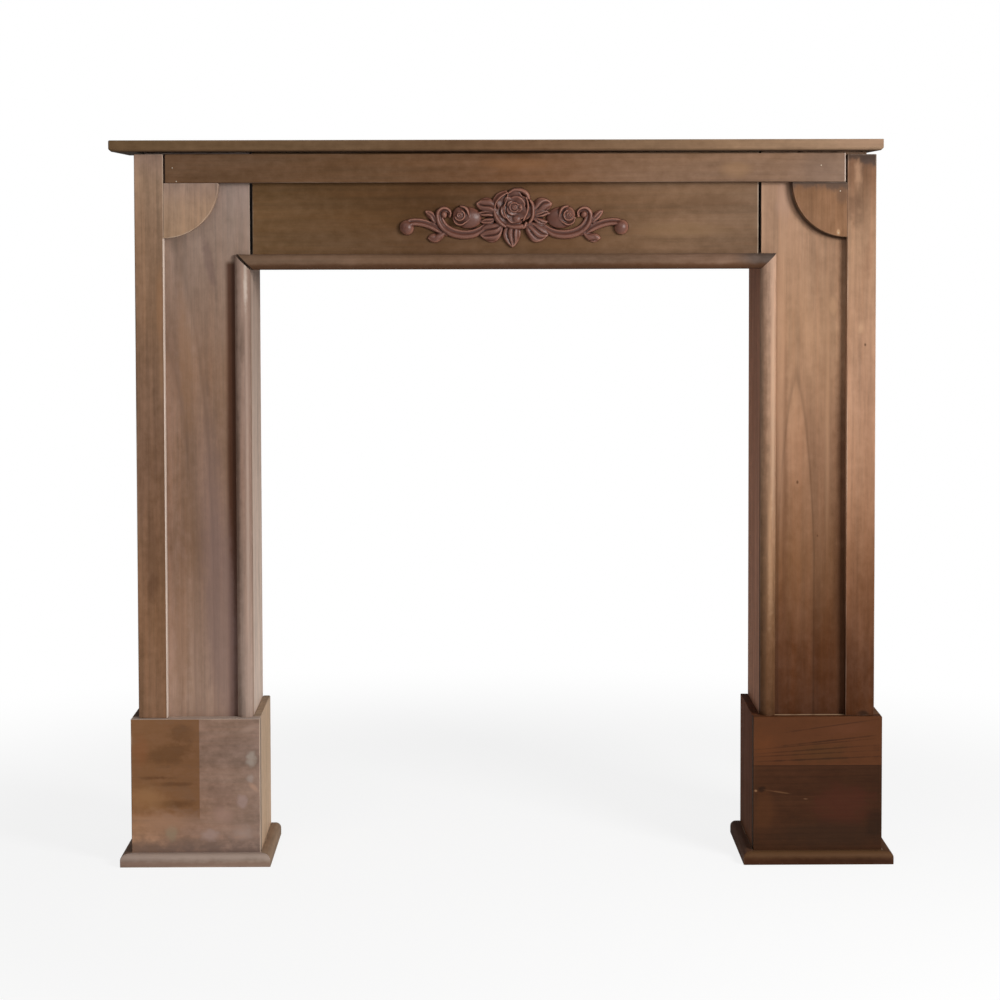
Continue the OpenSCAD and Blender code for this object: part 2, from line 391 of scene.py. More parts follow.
def cutAt(bm, point, normal, near=1e-7, keep=False):
    # a cut right through; what lies on the normal's side goes unless it is kept
    everything = bm.verts[:] + bm.edges[:] + bm.faces[:]
    bmesh.ops.bisect_plane(bm, geom=everything, dist=near, plane_co=point, plane_no=normal,
        clear_outer=not keep)


def pushOut(bm, by):
    # a flat outline becomes a solid
    pushed = bmesh.ops.extrude_face_region(bm, geom=bm.faces[:])
    moved = [part for part in pushed["geom"] if isinstance(part, bmesh.types.BMVert)]
    bmesh.ops.translate(bm, vec=by, verts=moved)
    bmesh.ops.recalc_face_normals(bm, faces=bm.faces)


def sawOff(bm, point, normal):
    # a saw cut that is closed again
    cutAt(bm, point, normal)
    gaps = [edge for edge in bm.edges if edge.is_boundary]
    bmesh.ops.holes_fill(bm, edges=gaps, sides=0)
    bmesh.ops.recalc_face_normals(bm, faces=bm.faces)


def crosscut(bm, axis, spacing):
    # cuts across the length, so that the arrises have points that can wander
    places = [vertex.co[axis] for vertex in bm.verts]
    low, high = min(places), max(places)
    normal = Vector([1.0 if i == axis else 0.0 for i in range(3)])
    count = max(2, round((high - low) / spacing))
    for step in range(1, count):
        cutAt(bm, normal * (low + (high - low) * step / count), normal, 1e-6, keep=True)


def wearArrises(bm, low, high, ease, amount, seed):
    # arrises wander inwards a little; the flat faces stay flat
    for vertex in bm.verts:
        moves = []
        for i in range(3):
            for limit, inward in ((low[i], 1), (high[i], -1)):
                gap = abs(vertex.co[i] - limit)
                if onFace < gap < ease * 1.6:
                    moves.append((i, inward))
        if moves:
            sample = noise.noise(vertex.co * 38 + Vector((seed, 0, 0)))
            sample += 0.6 * noise.noise(vertex.co * 140 + Vector((0, seed, 0)))
            for i, inward in moves:
                vertex.co[i] += inward * amount * max(0.0, 0.35 + sample)


# each board: how round its arrises are, how worn, and how far apart its points stand
boardShape = {"ease": 0.8 * mm, "worn": 0.35 * mm, "spacing": 12 * mm}


def board(name, node, look):
    low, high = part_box(node)
    bm = boxMesh(low, high)
    easeArrises(bm, boardShape["ease"])
    size = high - low
    crosscut(bm, max(range(3), key=lambda i: size[i]), boardShape["spacing"])
    wearArrises(bm, low, high, boardShape["ease"], boardShape["worn"], look["seed"])
    placeStained(name, node, bm, look)


print("shader and board tools ready")

# the shelf, chamfered beneath its front and ends
shelf = {"ease": 0.8 * mm, "chamfer": 3.5 * mm, "worn": 0.4 * mm, "spacing": 14 * mm, "wander": 4.0,
    "look": {**flat, "seed": 11.0, "pith": (0.03, 0.05), "lean": 0.012, "figure": 0.10,
        "streaks": 0.5,
        "tones": [(0.0, (108, 83, 57)), (0.25, (101, 76, 52)), (0.55, (100, 72, 49)),
            (0.8, (132, 104, 79)), (1.0, (141, 114, 91))], "paintedSheen": (150, 130, 108), "paintedSheenAmount": 0.15,
        "wearAmount": 0.3,
        "bands": [
            # painted shade along the chamfer and under the board, and a paler patch at the top of its
            # right end
            strip((66, 48, 36), 0.75, 0.0014, z=(1.010, 1.0174)),
            strip((150, 118, 96), 0.4, 0.02, x=(0.47, 0.60), y=(-0.2, -0.05), z=(1.0200, 1.040),
                ragged=0.02)]}}
low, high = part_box("shelf")
bm = boxMesh(low, high)
under = [edge for edge in bm.edges if all(abs(v.co.z - low.z) < onFace for v in edge.verts)
    and any(v.co.y < high.y - onFace for v in edge.verts)]
bevelEdges(bm, under, shelf["chamfer"], 1)
easeArrises(bm, shelf["ease"], 2, 40.0)
crosscut(bm, 0, shelf["spacing"])
wearArrises(bm, low, high, shelf["ease"], shelf["worn"], shelf["wander"])
placeStained("shelf_board", "shelf", bm, shelf["look"])
print("shelf done")

# the rail under the shelf, the frieze below it and the soffit
railLook = {**level, "seed": 23.0, "pith": (0.06, 0.02), "lean": 0.004, "figure": 0.08,
    "streaks": 0.46, "ringGap": 0.011, "wander": 0.02,
    "tones": [(0.0, (104, 76, 53)), (0.3, (102, 74, 50)), (0.5, (101, 68, 42)), (0.75, (118, 88, 64)),
        (0.9, (123, 94, 72)), (1.0, (118, 94, 77))], "paintedSheenAmount": 0.15, "wearAmount": 0.15,
    "bands": [
        # a pale line down the right end's arris: painted highlight and rubbing
        strip((184, 166, 154), 0.8, 0.0008, x=(0.4838, 0.49), broken=1.5),
        # painted shade along the lower edge
        strip((74, 52, 38), 0.7, 0.0008, x=(-0.5, 0.5), z=(0.96, 0.9728))],
    "spots": [
        patch((0.330, 0.990), (0.030, 0.016), (150, 116, 84), 0.35),
        patch((0.020, 0.998), (0.060, 0.012), (132, 92, 60), 0.3),
        patch((0.446, 0.992), (0.030, 0.040), (104, 84, 72), 0.3)]}
board("rail_board", "top_rail", railLook)
friezeLook = {**level, "seed": 31.0, "pith": (-0.09, 0.03), "lean": 0.006, "figure": 0.08,
    "streaks": 0.46, "ringGap": 0.012, "wander": 0.022,
    "tones": [(0.0, (105, 78, 50)), (0.35, (85, 59, 36)), (0.6, (99, 71, 47)), (0.85, (115, 88, 65)),
        (1.0, (108, 83, 62))], "paintedSheenAmount": 0.12, "wearAmount": 0.3,
    # a pale line down the right end's arris: painted highlight and rubbing
    "bands": [strip((158, 140, 122), 0.6, 0.0008, x=(0.3618, 0.37), broken=1.5)],
    "spots": [
        patch((0.300, 0.945), (0.060, 0.016), (92, 66, 46), 0.3),
        patch((0.250, 0.905), (0.090, 0.014), (134, 106, 76), 0.3)]}
board("frieze_board", "frieze", friezeLook)
soffitLook = {**flat, "seed": 37.0, "tones": [(0.0, (112, 86, 68)), (1.0, (120, 92, 72))]}
board("soffit_board", "soffit", soffitLook)
print("rail, frieze and soffit done")

# half-round bead round the opening
bead = {"segments": 72, "ease": 0.5 * mm, "smoothAngle": 40.0}


def halfRound(axis, low, high):
    # a half-round bar along an axis, its flat back on the high y side
    radius = high.y - low.y
    bm = bmesh.new()
    bmesh.ops.create_circle(bm, cap_ends=True, radius=radius, segments=bead["segments"])
    cutAt(bm, (0, 0, 0), (0, 1, 0))
    if axis == "x":
        bmesh.ops.rotate(bm, verts=bm.verts, matrix=Matrix.Rotation(math.pi / 2, 3, "Y"))
        centre = Vector((low.x, high.y, (low.z + high.z) / 2))
        length = Vector((high.x - low.x, 0, 0))
    else:
        centre = Vector(((low.x + high.x) / 2, high.y, low.z))
        length = Vector((0, 0, high.z - low.z))
    bmesh.ops.translate(bm, vec=centre, verts=bm.verts)
    pushOut(bm, length)
    return bm


lintelLook = {**level, "seed": 41.0, "figure": 0.08, "streaks": 0.25, "pith": (0.04, 0.05),
    "ringGap": 0.005,
    "tones": [(0.0, (121, 96, 77)), (0.4, (104, 79, 60)), (0.7, (102, 77, 58)), (0.92, (106, 80, 62)),
        (0.955, (72, 58, 49)), (1.0, (62, 51, 44))], "paintedSheenAmount": 0.15, "wearAmount": 0.2,
    # painted shade on the underside of the bead
    "bands": [strip((78, 47, 25), 0.7, 0.006, x=(-0.5, 0.5), z=(0.83, 0.8570), ragged=0.004)],
    # painted shade in the open mitre at the left
    "spots": [
        patch((-0.3664, 0.860), (0.0019, 0.018), (14, 10, 9), 0.95, slant=-1.0, soft=0.5, ragged=0.0)]}
low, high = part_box("lintel_bead")
bm = halfRound("x", low, high)
sawOff(bm, (low.x, 0, high.z), (-1, 0, -1))
sawOff(bm, (high.x, 0, high.z), (1, 0, -1))
easeArrises(bm, bead["ease"], 2)
placeStained("lintel_bar", "lintel_bead", bm, lintelLook, bead["smoothAngle"])

legBeadLooks = {
    "left": {"seed": 43.0, "figure": 0.10, "ringGap": 0.005,
        "tones": [(0.0, (174, 151, 137)), (0.5, (147, 119, 103)), (1.0, (146, 122, 108))],
        "paintedSheen": (152, 132, 122), "paintedSheenAmount": 0.4, "wearAmount": 0.1,
        # painted highlight down the bead's right side, which faces the light, and painted shade down
        # its left side
        "spots": [
            patch((-0.3655, 0.825), (0.004, 0.05), (214, 198, 184), 0.6, soft=0.9, ragged=1.6),
            patch((-0.3700, 0.745), (0.005, 0.04), (104, 84, 72), 0.5),
            patch((-0.3780, 0.50), (0.0050, 0.42), (104, 84, 72), 0.6, soft=1.0, ragged=1.0),
            patch((-0.3640, 0.50), (0.0035, 0.42), (200, 178, 164), 0.35, soft=1.0, ragged=1.4)]},
    "right": {"seed": 47.0, "figure": 0.10, "ringGap": 0.005, "mottle": 0.8,
        "tones": [(0.0, (88, 59, 37)), (0.12, (100, 69, 45)), (0.3, (130, 98, 72)),
            (0.55, (158, 125, 100)), (1.0, (170, 139, 118))], "paintedSheenAmount": 0.15, "wearAmount": 0.1,
        # painted highlight down the bead's right side, which faces the light, and painted shade down
        # its left side
        "spots": [
            patch((0.3840, 0.66), (0.0040, 0.26), (206, 172, 144), 0.35, soft=1.0, ragged=1.6),
            patch((0.3800, 0.44), (0.0050, 0.13), (176, 138, 106), 0.5, soft=1.0, ragged=2.0),
            patch((0.3730, 0.55), (0.0045, 0.40), (104, 76, 58), 0.4, soft=1.0, ragged=1.4)]}}
for side, look in legBeadLooks.items():
    low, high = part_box(side + "_leg_bead")
    bm = halfRound("z", low, high)
    inner, inward = (high.x, 1) if side == "left" else (low.x, -1)
    sawOff(bm, (inner, 0, high.z - (high.x - low.x)), (inward, 0, 1))
    easeArrises(bm, bead["ease"], 2)
    placeStained(side + "_bead_bar", side + "_leg_bead", bm, look, bead["smoothAngle"])
print("bead done")

# legs: a panel, a stile, a quarter bracket and two sides each; first painted shade, near black and
# matt, on the shut-in faces that their narrow gaps show
paintedGapShade = strip((10, 8, 7), 1.0, 0.0006, matt=True)
panelLooks = {
    "left": {"seed": 53.0, "pith": (-0.066, 0.002), "lean": 0.16, "streaks": 0.6, "leanFrom": 0.42,
        "arches": [0.057, 0.083], "archDepth": 0.26, "archWidth": 0.0048, "figure": 0.06,
        "ringGap": 0.014, "wander": 0.012,
        "tones": [(0.24, (169, 139, 119)), (0.45, (130, 101, 81)), (0.7, (140, 111, 91)),
            (0.9, (147, 127, 114)), (1.0, (147, 131, 123))], "paintedSheen": (140, 118, 112), "paintedSheenAmount": 0.5,
        "wearAmount": 0.2,
        "bands": [
            # painted shade on the edge face inside the gap above the opening
            {**paintedGapShade, "x": (-0.3593, -0.35), "z": (0.872, 1.02)},
            # painted shadow cast by the bead on the panel beside it
            strip((70, 38, 24), 0.85, 0.008, x=(-0.3930, -0.3790), z=(0.10, 0.860))],
        "spots": [
            # a broad slanting rosy-grey patch: painted sheen
            patch((-0.404, 0.36), (0.034, 0.34), (134, 110, 104), 0.55, slant=-0.07),
            patch((-0.452, 0.72), (0.014, 0.14), (156, 118, 90), 0.4, slant=-0.05),
            patch((-0.418, 0.862), (0.010, 0.05), (112, 90, 84), 0.45, slant=-0.2),
            patch((-0.460, 0.33), (0.016, 0.16), (144, 106, 78), 0.35)]},
    "right": {"seed": 59.0, "pith": (-0.024, 0.002), "lean": 0.0926, "leanFrom": 0.434, "peak": 1.6,
        "arches": [0.026], "archDepth": 0.24, "archLight": 0.13, "archWidth": 0.0026, "figure": 0.06,
        "ringGap": 0.014, "wander": 0.005,
        "tones": [(0.2, (64, 34, 14)), (0.3, (76, 44, 22)), (0.42, (101, 69, 45)),
            (0.58, (127, 93, 69)), (0.75, (149, 115, 88)), (1.0, (147, 116, 94))], "paintedSheenAmount": 0.10,
        "wearAmount": 0.2, "swathes": 1.2, "clouds": 0.55, "mottle": 0.45, "streaks": 0.5,
        # painted shade on the edge face inside the gap above the opening
        "bands": [{**paintedGapShade, "x": (0.36, 0.3673), "z": (0.872, 1.02)}],
        "spots": [
            # painted shadow of the quarter bracket, a dark ring along its curve
            patch((0.488, 0.972), (0.0798, 0.0798), (48, 30, 20), 0.8, ring=0.05, soft=1.0, ragged=0.3),
            patch((0.402, 0.50), (0.006, 0.32), (84, 54, 36), 0.35),
            # painted shadow of the stile on the panel beside it
            patch((0.481, 0.45), (0.012, 0.60), (78, 48, 30), 0.6, soft=1.0),
            patch((0.4625, 0.66), (0.0050, 0.26), (178, 138, 106), 0.32, soft=1.0),
            patch((0.470, 0.797), (0.007, 0.018), (186, 146, 112), 0.3, ragged=1.4),
            patch((0.400, 0.955), (0.016, 0.050), (166, 134, 116), 0.4, ragged=1.2),
            patch((0.396, 0.70), (0.008, 0.30), (190, 148, 118), 0.3)],
        "knots": [{"at": (0.420, 0.544), "size": 0.0022, "reach": 0.006, "colour": (84, 54, 36)},
            {"at": (0.449, 0.467), "size": 0.0016, "reach": 0.005, "colour": (84, 54, 36)}]}}
stileLooks = {
    "left": {"seed": 61.0, "pith": (0.05, 0.05), "lean": 0.01, "figure": 0.08,
        "tones": [(0.2, (130, 96, 70)), (0.45, (112, 81, 58)), (0.7, (138, 105, 79)),
            (0.86, (148, 117, 92)), (0.95, (157, 128, 104)), (1.0, (152, 125, 108))],
        "paintedSheen": (128, 106, 98), "paintedSheenAmount": 0.25, "wearAmount": 0.5, "swathes": 1.1, "mottle": 0.7,
        # painted highlight down the arris that faces the light
        "bands": [strip((212, 192, 178), 1.0, 0.0003, x=(-0.4813, -0.470), z=(0.2, 0.894))],
        "spots": [
            patch((-0.4860, 0.800), (0.006, 0.07), (160, 118, 86), 0.45),
            patch((-0.4840, 0.700), (0.004, 0.06), (154, 118, 88), 0.35),
            patch((-0.500, 0.40), (0.010, 0.03), (92, 62, 44), 0.35),
            patch((-0.500, 0.44), (0.016, 0.10), (96, 68, 50), 0.35, slant=0.03)]},
    "right": {"seed": 67.0, "pith": (0.04, 0.04), "lean": 0.014, "figure": 0.10,
        "tones": [(0.0, (70, 37, 14)), (0.1, (76, 42, 18)), (0.22, (105, 68, 43)),
            (0.38, (142, 104, 78)), (0.6, (162, 124, 98)), (0.85, (151, 119, 94)),
            (0.96, (115, 84, 62)), (1.0, (110, 80, 60))], "paintedSheenAmount": 0.12, "wearAmount": 0.35,
        "swathes": 1.2, "clouds": 0.6, "streaks": 0.55, "mottle": 0.5,
        "knots": [{"at": (0.514, 0.741), "size": 0.0022, "reach": 0.006, "colour": (70, 46, 32)}],
        "bands": [
            # painted shade across the top, under the shelf and rail
            strip((66, 55, 50), 0.85, 0.014, x=(0.508, 0.56), z=(0.996, 1.05), ragged=0.03),
            strip((66, 52, 44), 0.85, 0.006, x=(0.45, 0.56), z=(1.004, 1.05), ragged=0.02)],
        "spots": [
            patch((0.514, 0.2135), (0.0125, 0.0065), (44, 28, 18), 0.8, ragged=1.2),
            patch((0.503, 0.982), (0.0090, 0.030), (190, 150, 120), 0.42, ragged=1.5, soft=0.9),
            patch((0.508, 0.765), (0.008, 0.014), (198, 160, 126), 0.35, ragged=1.6),
            patch((0.497, 0.935), (0.012, 0.030), (96, 70, 54), 0.4, ragged=1.4),
            patch((0.520, 0.875), (0.008, 0.05), (110, 72, 50), 0.25, slant=0.1)]}}
quadrantLooks = {
    "left": {"seed": 71.0, "pith": (0.01, 0.05), "figure": 0.12,
        "tones": [(0.0, (168, 137, 110)), (0.6, (168, 139, 116)), (1.0, (158, 133, 118))],
        "paintedSheenAmount": 0.15, "wearAmount": 0.9, "wearWidth": 0.002, "swathes": 0.9},
    "right": {"seed": 73.0, "pith": (0.01, 0.03), "figure": 0.12, "streaks": 0.6,
        "tones": [(0.0, (127, 92, 65)), (0.8, (122, 88, 62)), (1.0, (116, 83, 61))], "paintedSheenAmount": 0.1,
        "wearAmount": 0.15, "warmAmount": 0.1, "swathes": 0.9, "mottle": 0.45,
        "bands": [
            # painted shade under the rail: a dark line at the top and a soft band below it
            strip((24, 18, 15), 0.9, 0.0008, x=(0.38, 0.52), z=(0.9694, 1.0), ragged=0.0),
            strip((76, 61, 52), 0.85, 0.016, x=(0.38, 0.52), z=(0.963, 1.0), ragged=0.035)],
        "spots": [
            patch((0.4752, 0.9010), (0.0035, 0.006), (196, 160, 122), 0.5),
            patch((0.480, 0.952), (0.012, 0.014), (84, 64, 52), 0.5)]}}
# painted shade on the inner sides, where the gaps above the opening look in
paintedGapShadeOnSides = {**paintedGapShade, "y": (-0.06, -0.022), "z": (0.874, 1.02), "soft": 0.012}
sideLooks = {
    "left_outer_side": {**turnedSide, "seed": 79.0,
        "tones": [(0.0, (118, 88, 66)), (0.5, (124, 94, 72)), (1.0, (134, 106, 86))]},
    "right_outer_side": {**turnedSide, "seed": 83.0, "wear": (168, 134, 108),
        "tones": [(0.0, (92, 60, 38)), (0.3, (116, 82, 58)), (0.6, (140, 104, 78)),
            (1.0, (140, 106, 82))]},
    # pale tones: painted light from the light at the right falling on this face; and painted shade
    # where the gap above the opening looks in
    "left_inner_side": {**turnedSide, "seed": 89.0, "paintedSheenAmount": 0.3,
        "paintedSheen": (168, 150, 138), "shine": 0.2,
        "bands": [{**paintedGapShadeOnSides, "x": (-0.3595, -0.35), "crisp": "x"}],
        "tones": [(0.2, (222, 200, 184)), (0.5, (201, 179, 163)), (0.83, (169, 145, 129))]},
    # painted shade where the gap above the opening looks in
    "right_inner_side": {**turnedSide, "seed": 97.0, "paintedSheenAmount": 0.15,
        "paintedSheen": (146, 116, 106), "shine": 0.03,
        "bands": [{**paintedGapShadeOnSides, "x": (0.36, 0.3675), "crisp": "x"}],
        "tones": [(0.2, (169, 123, 99)), (0.5, (177, 128, 104)), (0.83, (164, 117, 93))]}}


bracketShape = {"segments": 192, "ease": 1.0 * mm}


def quadrant(side, look):
    low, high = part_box(side + "_quadrant")
    radius = high.z - low.z
    corner = Vector((low.x if side == "left" else high.x, high.y, high.z))
    bm = bmesh.new()
    bmesh.ops.create_circle(bm, cap_ends=True, radius=radius, segments=bracketShape["segments"])
    bmesh.ops.rotate(bm, verts=bm.verts, matrix=Matrix.Rotation(math.pi / 2, 3, "X"))
    bmesh.ops.translate(bm, vec=corner, verts=bm.verts)
    for normal in ((1 if side == "right" else -1, 0, 0), (0, 0, 1)):
        cutAt(bm, corner, normal)
    pushOut(bm, (0, low.y - high.y, 0))
    easeArrises(bm, bracketShape["ease"])
    look = {**look, "curve": (corner, radius)}
    placeStained(side + "_quarter_bracket", side + "_quadrant", bm, look)


for side in ("left", "right"):
    board(side + "_panel_board", side + "_leg_panel", panelLooks[side])
    board(side + "_stile_board", side + "_stile", stileLooks[side])
    for part in ("outer_side", "inner_side"):
        node = side + "_" + part
        board(node + "_board", node, sideLooks[node])
    quadrant(side, quadrantLooks[side])
print("legs done")

# the boxed plinths
plinthLooks = {
    "left_plinth_front": {**level, "seed": 101.0, "pith": (0.02, 0.04), "lean": 0.10,
        "figure": 0.05, "wander": 0.03, "ringGap": 0.016, "mottle": 0.95, "streaks": 0.4,
        "clouds": 0.7, "tones": [(0.0, (175, 132, 98)), (0.45, (149, 117, 96)), (1.0, (146, 121, 105))],
        "paintedSheen": (142, 120, 114), "paintedSheenAmount": 0.45, "wearAmount": 0.6,
        "bands": [
            # where something stood against it and the stain stayed brown
            strip((122, 80, 42), 0.75, 0.024, x=(-0.56, -0.4345), z=(0.071, 0.23), ragged=0.030,
                crisp="x", broken=1.2),
            strip((196, 172, 152), 0.8, 0.0006, x=(-0.3490, -0.34), z=(0.018, 0.21)),
            strip((178, 160, 148), 0.8, 0.0006, y=(-0.09, -0.06), z=(0.2093, 0.22)),
            strip((116, 98, 90), 0.8, 0.034, x=(-0.56, -0.3492), z=(0.0, 0.0320), ragged=0.050,
                crisp="x", broken=1.5)],
        "spots": [
            patch((-0.361, 0.153), (0.010, 0.014), (168, 154, 142), 0.75, ragged=1.9),
            patch((-0.361, 0.125), (0.008, 0.009), (168, 150, 140), 0.7, ragged=1.9),
            patch((-0.357, 0.111), (0.010, 0.007), (196, 156, 132), 0.5, slope=-0.6, ragged=1.1),
            patch((-0.374, 0.092), (0.010, 0.013), (172, 146, 138), 0.65, ragged=1.9),
            patch((-0.4750, 0.046), (0.011, 0.014), (152, 134, 110), 0.75, ragged=1.6),
            patch((-0.4200, 0.044), (0.020, 0.011), (172, 146, 136), 0.7, ragged=1.9),
            patch((-0.374, 0.046), (0.022, 0.014), (170, 146, 134), 0.65, ragged=1.9),
            patch((-0.362, 0.196), (0.016, 0.006), (176, 148, 132), 0.4, slope=0.3, ragged=1.5),
            patch((-0.402, 0.072), (0.022, 0.016), (172, 138, 124), 0.5, ragged=1.4),
            # darker clouds and flecks in the brown part
            patch((-0.478, 0.160), (0.050, 0.020), (88, 58, 34), 0.4, slope=0.1, ragged=1.3),
            patch((-0.462, 0.188), (0.026, 0.020), (88, 60, 38), 0.35, ragged=1.4),
            patch((-0.404, 0.100), (0.030, 0.030), (124, 96, 84), 0.3, ragged=1.3),
            patch((-0.494, 0.1255), (0.034, 0.0040), (80, 50, 30), 0.5, ragged=1.5, soft=0.9),
            patch((-0.466, 0.1165), (0.040, 0.0045), (84, 54, 32), 0.45, ragged=1.5, soft=0.9),
            patch((-0.466, 0.088), (0.036, 0.0070), (88, 56, 32), 0.45, ragged=1.6, soft=0.9),
            # and the warmer, lighter wood round its lower corner
            patch((-0.518, 0.165), (0.016, 0.030), (144, 92, 60), 0.4, ragged=1.0),
            patch((-0.512, 0.096), (0.044, 0.024), (168, 124, 84), 0.5, slope=-0.1, soft=1.0,
                ragged=1.0),
            patch((-0.484, 0.062), (0.056, 0.020), (174, 134, 108), 0.5, ragged=1.2, soft=1.0)]},
    "right_plinth_front": {**level, "seed": 103.0, "pith": (0.10, 0.03), "lean": 0.05,
        "figure": 0.14, "ringGap": 0.008,
        "tones": [(0.0, (66, 40, 24)), (1.0, (60, 36, 22))], "wearAmount": 0.2, "wear": (110, 76, 52),
        "paintedSheenAmount": 0.0, "warmAmount": 0.3,
        "bands": [
            strip((89, 52, 30), 0.75, 0.0012, z=(0.140, 0.23), broken=0.8),
            strip((34, 22, 15), 0.6, 0.0006, z=(0.139, 0.140)),
            strip((84, 56, 36), 0.4, 0.001, x=(0.3, 0.3575), z=(0.0, 0.21), broken=1.5),
            strip((176, 146, 116), 0.85, 0.0012, y=(-0.0712, -0.06), z=(0.2093, 0.22),
                x=(0.386, 0.488), ragged=0.004)],
        "spots": [
            # the upper strip: browner in the middle, redder at its ends
            patch((0.450, 0.160), (0.060, 0.022), (74, 50, 27), 0.45, ragged=1.4, soft=1.0),
            patch((0.372, 0.170), (0.030, 0.030), (106, 60, 32), 0.4, ragged=1.4, soft=1.0),
            patch((0.490, 0.192), (0.050, 0.014), (100, 60, 42), 0.35, ragged=1.4, soft=1.0),
            # slanting dark lines of late wood in it
            patch((0.470, 0.197), (0.10, 0.0014), (44, 27, 18), 0.55, slope=0.14, soft=0.9, ragged=1.1),
            patch((0.470, 0.176), (0.12, 0.0020), (40, 25, 17), 0.65, slope=0.11, soft=0.9, ragged=1.4),
            patch((0.440, 0.170), (0.14, 0.0014), (44, 27, 18), 0.55, slope=0.09, soft=0.9, ragged=1.1),
            patch((0.450, 0.163), (0.14, 0.0016), (44, 27, 18), 0.55, slope=0.07, soft=0.9, ragged=1.1),
            patch((0.430, 0.156), (0.14, 0.0014), (46, 28, 18), 0.5, slope=0.05, soft=0.9, ragged=1.4),
            patch((0.450, 0.149), (0.14, 0.0016), (42, 26, 17), 0.6, slope=0.04, soft=0.9, ragged=1.4),
            # the lower plank: a redder heart and darker, greyer foot
            patch((0.485, 0.080), (0.060, 0.040), (76, 38, 27), 0.5, ragged=1.2),
            patch((0.372, 0.075), (0.022, 0.040), (84, 50, 28), 0.5, ragged=1.2),
            patch((0.460, 0.040), (0.120, 0.030), (48, 34, 24), 0.5),
            patch((0.530, 0.056), (0.020, 0.030), (38, 26, 18), 0.5),
            # a dent and two scratches
            patch((0.3680, 0.106), (0.0070, 0.0050), (36, 22, 14), 0.75, soft=0.8, ragged=1.4),
            patch((0.3595, 0.1035), (0.0026, 0.0022), (144, 106, 76), 0.7),
            patch((0.3930, 0.1015), (0.022, 0.0018), (112, 78, 52), 0.5, slope=-0.16, ragged=1.2),
            patch((0.4310, 0.0915), (0.0045, 0.0006), (150, 112, 84), 0.6, slope=-0.05)]},
    # pale tones: painted light from the light at the right falling on this face
    "left_plinth_inner": {**turnedSide, "seed": 107.0,
        "tones": [(0.0, (206, 176, 146)), (1.0, (200, 172, 144))]},
    "left_plinth_outer": {**turnedSide, "seed": 109.0,
        "tones": [(0.0, (112, 84, 64)), (1.0, (116, 86, 64))]},
    "right_plinth_inner": {**turnedSide, "seed": 113.0, "paintedSheenAmount": 0.1,
        "wear": (120, 88, 64), "shine": 0.03,
        "tones": [(0.0, (112, 74, 50)), (0.4, (100, 56, 30)), (1.0, (102, 56, 30))]},
    "right_plinth_outer": {**turnedSide, "seed": 127.0, "wear": (120, 88, 64),
        "paintedSheenAmount": 0.05, "endGrain": 1.0, "tones": [(0.0, (84, 54, 34)), (1.0, (108, 76, 52))]}}
for node, look in plinthLooks.items():
    board(node + "_board", node, look)

# base moulding: each bar is rounded over on top and mitred at the front corners
mouldingShape = {"round": 8 * mm, "segments": 12, "ease": 0.7 * mm, "spacing": 10 * mm,
    "smoothAngle": 40.0}
baseLooks = {
    "left_base_front": {**level, "seed": 131.0,
        "tones": [(0.0, (150, 128, 114)), (1.0, (150, 130, 114))], "wearAmount": 0.7,
        "bands": [
            strip((136, 106, 90), 0.5, 0.004, z=(-0.01, 0.0075), x=(-0.6, -0.3), ragged=0.01),
            strip((178, 158, 146), 0.6, 0.007, z=(0.011, 0.03), x=(-0.6, -0.3), ragged=0.005)]},
    "left_base_outer": {**turnedLevel, "seed": 137.0,
        "tones": [(0.0, (120, 96, 80)), (1.0, (120, 96, 80))]},
    "left_base_inner": {**turnedLevel, "seed": 139.0,
        "tones": [(0.0, (146, 122, 100)), (1.0, (146, 122, 100))]},
    "right_base_front": {**level, "seed": 149.0,
        "tones": [(0.0, (59, 32, 16)), (1.0, (55, 29, 14))], "wearAmount": 0.3, "paintedSheenAmount": 0.04,
        "bands": [strip((96, 68, 44), 0.7, 0.010, z=(0.010, 0.03), x=(0.3, 0.6), ragged=0.004)],
        "wear": (120, 88, 62)},
    "right_base_outer": {**turnedLevel, "seed": 151.0, "paintedSheenAmount": 0.05,
        "tones": [(0.0, (82, 54, 36)), (1.0, (88, 60, 40))]},
    "right_base_inner": {**turnedLevel, "seed": 157.0, "paintedSheenAmount": 0.05,
        "tones": [(0.0, (84, 56, 40)), (1.0, (84, 56, 40))]}}


def outerTopEdge(edge, low, high, outward):
    # whether the edge is the long one on top, on the outward side
    axis = 0 if abs(outward[0]) > 0.5 else 1
    limit = high[axis] if outward[axis] > 0 else low[axis]
    return all(abs(vertex.co.z - high.z) < onFace and abs(vertex.co[axis] - limit) < onFace
        for vertex in edge.verts)


for node, look in baseLooks.items():
    side, part = node.split("_base_")
    low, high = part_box(node)
    sign = -1 if side == "left" else 1
    bm = boxMesh(low, high)
    if part == "front":
        outward = Vector((0, -1, 0))
        cuts = [(high.x, (1, 1, 0)), (low.x, (-1, 1, 0))]
    else:
        outward = Vector((sign if part == "outer" else -sign, 0, 0))
        cuts = [(high.x if outward.x > 0 else low.x, (-outward.x, -1, 0))]
    rounded = [edge for edge in bm.edges if outerTopEdge(edge, low, high, outward)]
    bevelEdges(bm, rounded, mouldingShape["round"], mouldingShape["segments"])
    for x, normal in cuts:
        sawOff(bm, (x, low.y, 0), normal)
    easeArrises(bm, mouldingShape["ease"], 2)
    crosscut(bm, 0 if part == "front" else 1, mouldingShape["spacing"])
    placeStained(node + "_bar", node, bm, look, mouldingShape["smoothAngle"])
print("plinths done")

